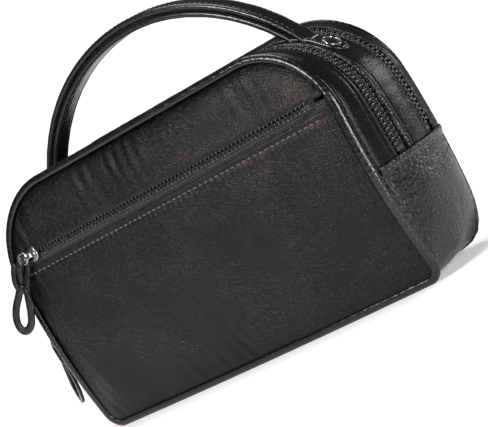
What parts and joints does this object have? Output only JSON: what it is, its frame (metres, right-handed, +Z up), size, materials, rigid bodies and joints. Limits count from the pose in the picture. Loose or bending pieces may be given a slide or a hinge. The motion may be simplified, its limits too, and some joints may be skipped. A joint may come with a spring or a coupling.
{
  "type": "wash bag",
  "caption": "Soft leather wash bag with two zipped compartments side by side, a zipped front pocket, piped rims, bellied ends and one arched top handle fixed by ring rivets.",
  "frame": {"origin": "middle of the flat base's underside", "axes": "+X along the bag with the zips closed towards -X, the pocket faces -Y, +Z up to the handle"},
  "size_m": [0.2558, 0.0845, 0.18],
  "materials": {
    "panel_leather": "soft grained black leather, satin",
    "gusset_leather": "pebbled black leather, satin",
    "trim_leather": "smooth black leather, satin",
    "lining_fabric": "plain woven lining",
    "zip_tape": "woven navy black tape",
    "zip_teeth": "glossy black moulded teeth",
    "bright_metal": "polished nickel",
    "stiffener": "fibre board"
  },
  "bodies": {
    "bag": {"front_upper_panel": "panel_leather", "front_pocket_panel": "panel_leather", "back_panel": "panel_leather", "top_front_strip": "gusset_leather", "top_centre_strip": "gusset_leather", "top_back_strip": "gusset_leather", "lower_gusset": "gusset_leather", "left_end_band": "gusset_leather", "right_end_band": "gusset_leather", "front_piping": "trim_leather", "back_piping": "trim_leather", "pocket_corner_patch": "trim_leather", "handle_left_tongue": "trim_leather", "handle_right_tongue": "trim_leather", "front_backing": "lining_fabric", "front_lining": "lining_fabric", "back_lining": "lining_fabric", "gusset_lining": "lining_fabric", "divider": "lining_fabric", "front_zip_outer_tape": "zip_tape", "front_zip_inner_tape": "zip_tape", "rear_zip_outer_tape": "zip_tape", "rear_zip_inner_tape": "zip_tape", "pocket_zip_upper_tape": "zip_tape", "pocket_zip_lower_tape": "zip_tape", "front_zip_chain": "zip_teeth", "rear_zip_chain": "zip_teeth", "pocket_zip_chain": "zip_teeth", "front_zip_left_stop": "zip_teeth", "front_zip_right_stop": "zip_teeth", "rear_zip_left_stop": "zip_teeth", "rear_zip_right_stop": "zip_teeth", "handle_left_rivet": "bright_metal", "handle_right_rivet": "bright_metal", "handle_left_rivet_washer": "bright_metal", "handle_right_rivet_washer": "bright_metal", "base_board": "stiffener"},
    "handle": {"handle_outer_strap": "trim_leather", "handle_core": "stiffener", "handle_inner_strap": "trim_leather"},
    "front_slider": {"front_slider": "bright_metal"},
    "rear_slider": {"rear_slider": "bright_metal"},
    "pocket_slider": {"pocket_slider": "bright_metal"},
    "front_pull": {"front_pull_ring": "bright_metal", "front_pull_lace": "trim_leather"},
    "rear_pull": {"rear_pull_ring": "bright_metal", "rear_pull_lace": "trim_leather"},
    "pocket_pull": {"pocket_pull_ring": "bright_metal", "pocket_pull_lace": "trim_leather"}
  },
  "joints": [
    {"name": "handle_tilt", "type": "hinge", "parent": "bag", "child": "handle", "pos_m": [0, 0, 0.141], "axis": [1, 0, 0], "range_deg": [-30, 30], "stiffness_Nm_per_rad": 0.05},
    {"name": "front_zip_slide", "type": "slide", "parent": "bag", "child": "front_slider", "axis": [0, 0, 1], "range_m": [0, 0.02]},
    {"name": "rear_zip_slide", "type": "slide", "parent": "bag", "child": "rear_slider", "axis": [0, 0, 1], "range_m": [0, 0.02]},
    {"name": "pocket_zip_slide", "type": "hinge", "parent": "bag", "child": "pocket_slider", "pos_m": [0, 1.1279, 0.1015], "axis": [0, 0, 1], "range_deg": [0, 8.6]},
    {"name": "front_pull_swing", "type": "hinge", "parent": "front_slider", "child": "front_pull", "pos_m": [-0.12386, -0.01649, 0.07105], "axis": [-0.2109, 0.9775, -0.0034], "range_deg": [-6, 142]},
    {"name": "rear_pull_swing", "type": "hinge", "parent": "rear_slider", "child": "rear_pull", "pos_m": [-0.12385, 0.01654, 0.07105], "axis": [0.2223, 0.975, 0.0032], "range_deg": [-6, 142]},
    {"name": "pocket_pull_swing", "type": "hinge", "parent": "pocket_slider", "child": "pocket_pull", "pos_m": [-0.09333, -0.03932, 0.10203], "axis": [0.0101, 0.1266, 0.9919], "range_deg": [0, 150]}
  ]
}
